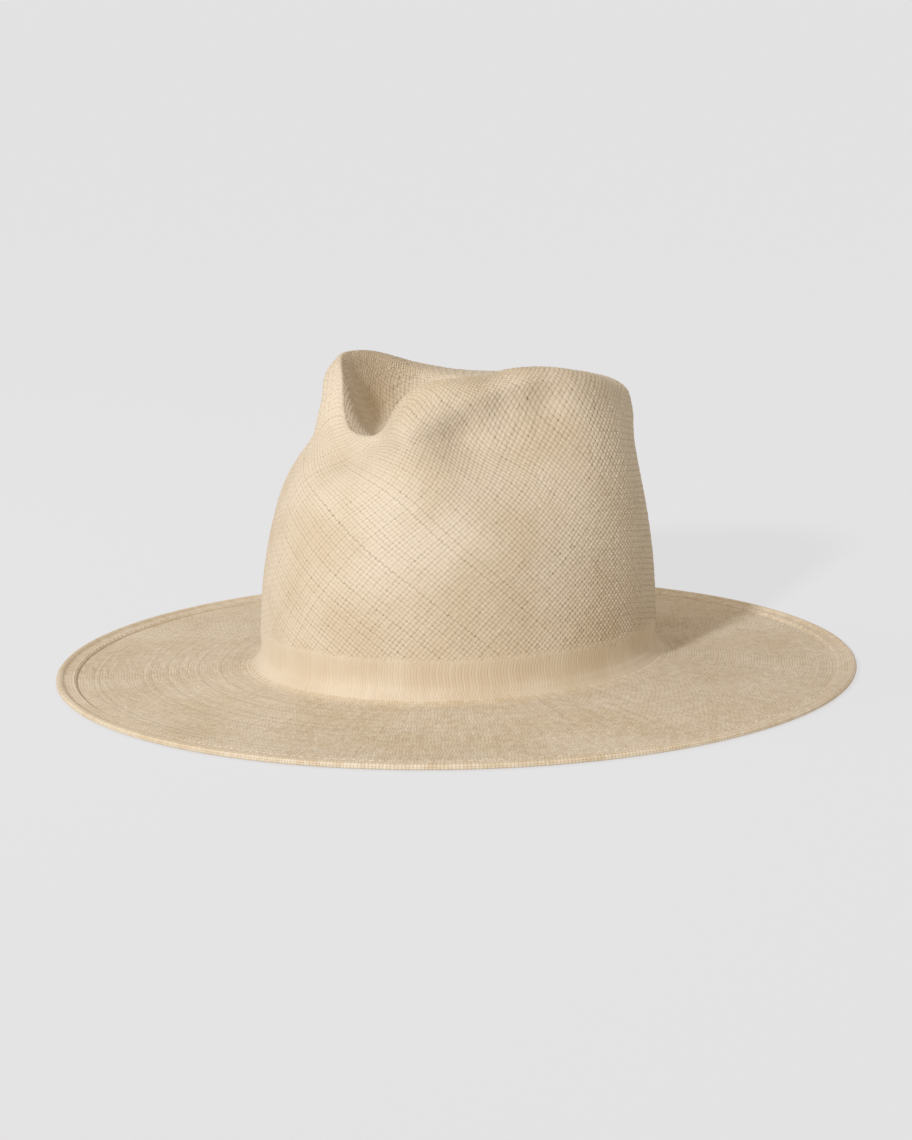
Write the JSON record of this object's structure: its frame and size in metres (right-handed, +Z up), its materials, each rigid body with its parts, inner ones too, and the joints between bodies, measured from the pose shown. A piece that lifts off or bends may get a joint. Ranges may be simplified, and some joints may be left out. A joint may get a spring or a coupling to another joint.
{
  "type": "panama hat",
  "caption": "Wide-brimmed woven straw hat with a pinched, teardrop-creased crown, a wired and folded brim edge and a sweatband inside.",
  "frame": {"origin": "centre of the head opening, on the plane the underside of the brim edge rests on", "axes": "+Z up to the crown, -Y towards the front of the hat (the pinched end), +X towards the wearer's left"},
  "size_m": [0.3624, 0.3934, 0.1505],
  "materials": {
    "straw": "natural toquilla palm straw, plain woven, lightly bleached, soft sheen",
    "hat_wire": "drawn steel hat wire",
    "wire_joiner": "plain crimped tube",
    "thread": "matt cotton sewing thread",
    "sweatband_cloth": "ribbed cotton grosgrain",
    "tape": "plain woven cotton tape",
    "reed": "extruded cord",
    "ribbon": "narrow ribbed ribbon",
    "paper_label": "uncoated, blank",
    "satin_label": "woven satin, blank"
  },
  "bodies": {
    "root": {"straw_body": "straw", "brim_wire": "hat_wire", "wire_sleeve": "wire_joiner", "brim_stitching": "thread", "sweatband": "sweatband_cloth", "seam_tape": "tape", "seam_stitching": "thread", "sweatband_reed": "reed", "reed_tape": "tape", "sweatband_stitching": "thread", "bow_loop": "ribbon", "bow_knot": "ribbon", "bow_tails": "ribbon", "size_label": "paper_label", "care_label": "satin_label"}
  },
  "joints": []
}
